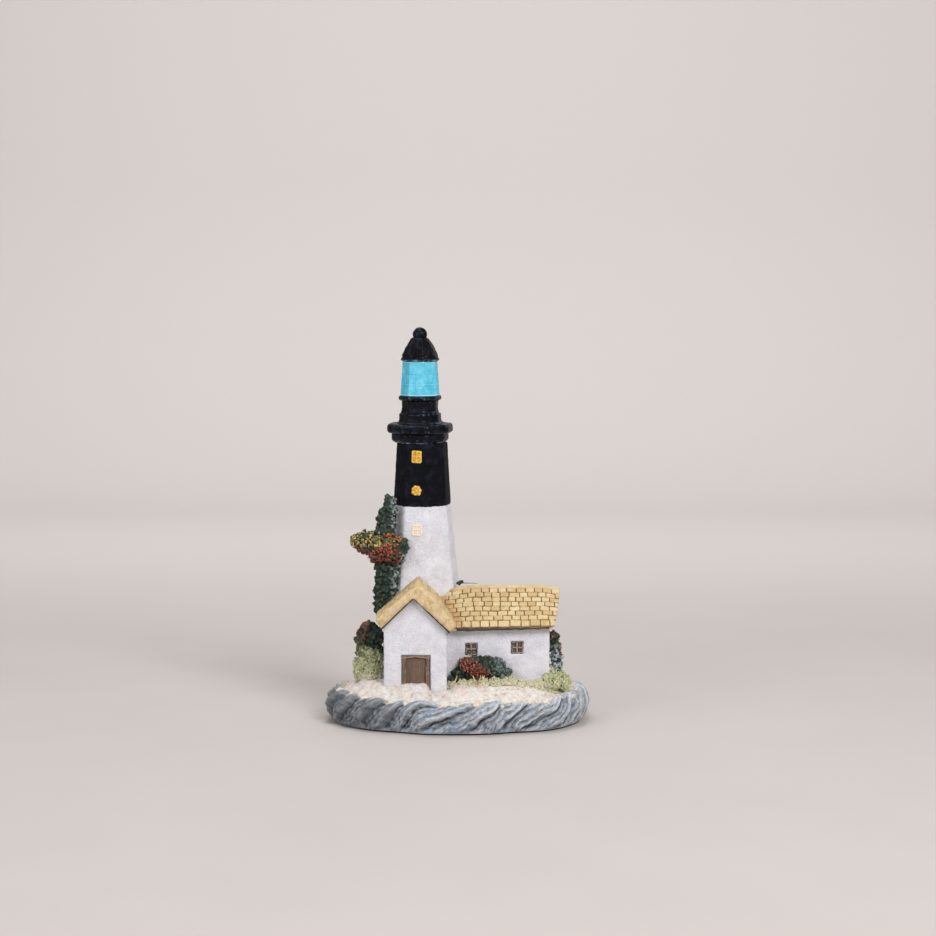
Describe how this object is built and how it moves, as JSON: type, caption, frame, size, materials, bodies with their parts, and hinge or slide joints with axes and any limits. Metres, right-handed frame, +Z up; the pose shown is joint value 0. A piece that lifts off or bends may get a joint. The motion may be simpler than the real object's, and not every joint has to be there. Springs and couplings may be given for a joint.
{
  "type": "lighthouse ornament",
  "caption": "Hand-painted cast ornament of a black and white octagonal lighthouse behind a shingled cottage with vines and shrubs, on a rocky oval base.",
  "frame": {"origin": "centre of the footprint's bounding box, on the surface the ornament stands on", "axes": "+Z up along the tower, -Y towards the viewer of the cottage's door, +X towards the end of the long wing"},
  "size_m": [0.078, 0.056, 0.115],
  "materials": {
    "felt": "napped felt",
    "rock_paint": "dark blue-grey with pale dry-brushing on the ridges",
    "sand_paint": "matte, mottled",
    "white_stucco": "matte, fine pitted stucco",
    "black_stucco": "satin, pitted stucco",
    "black_gloss": "semi-gloss paint",
    "lantern_blue": "satin paint",
    "lantern_bar_blue": "satin paint",
    "window_gold": "satin paint",
    "window_cream": "satin paint",
    "window_brown": "dark brown wash over beige bars",
    "roof_tan": "matte, brown wash in the grooves",
    "shingle_tan": "matte, brown wash in the grooves",
    "trim_brown": "matte brown line",
    "door_brown": "streaked brown",
    "door_frame_tan": "reddish tan, brown wash",
    "leaf_green": "dark green with grey-green and pale dry-brushing",
    "grass_green": "pale green, dry-brushed",
    "flower_paint": "orange, red and yellow dabs"
  },
  "bodies": {
    "root": {"felt_pad": "felt", "rock_base": "rock_paint", "sand_ground": "sand_paint", "tower_lower_shaft": "white_stucco", "tower_upper_shaft": "black_stucco", "tower_corbel": "black_gloss", "gallery_deck": "black_gloss", "watch_room": "black_gloss", "service_room": "black_gloss", "lantern_sill": "black_gloss", "lantern_core": "lantern_blue", "lantern_bars": "lantern_bar_blue", "lantern_dome": "black_gloss", "ball_finial": "black_gloss", "tower_window_top": "window_gold", "tower_window_middle": "window_gold", "tower_window_bottom": "window_cream", "gable_walls": "white_stucco", "gable_roof": "roof_tan", "gable_rake_trim": "trim_brown", "door_frame": "door_frame_tan", "door_leaf": "door_brown", "doorstep": "sand_paint", "wing_walls": "white_stucco", "wing_roof_deck": "roof_tan", "wing_eave_trim": "trim_brown", "ridge_tiles": "shingle_tan", "front_shingles": "shingle_tan", "back_shingles": "shingle_tan", "wing_window_left": "window_brown", "wing_window_right": "window_brown", "climbing_vine_foot": "leaf_green", "climbing_vine_bloom": "leaf_green", "climbing_vine_top": "leaf_green", "vine_flowers": "flower_paint", "front_bush": "leaf_green", "front_bush_flowers": "flower_paint", "left_shrub": "leaf_green", "left_grass_mound": "grass_green", "front_grass": "grass_green", "right_grass_mound": "grass_green", "right_creeper": "leaf_green", "creeper_flowers": "flower_paint", "ridge_sprig": "leaf_green"}
  },
  "joints": []
}
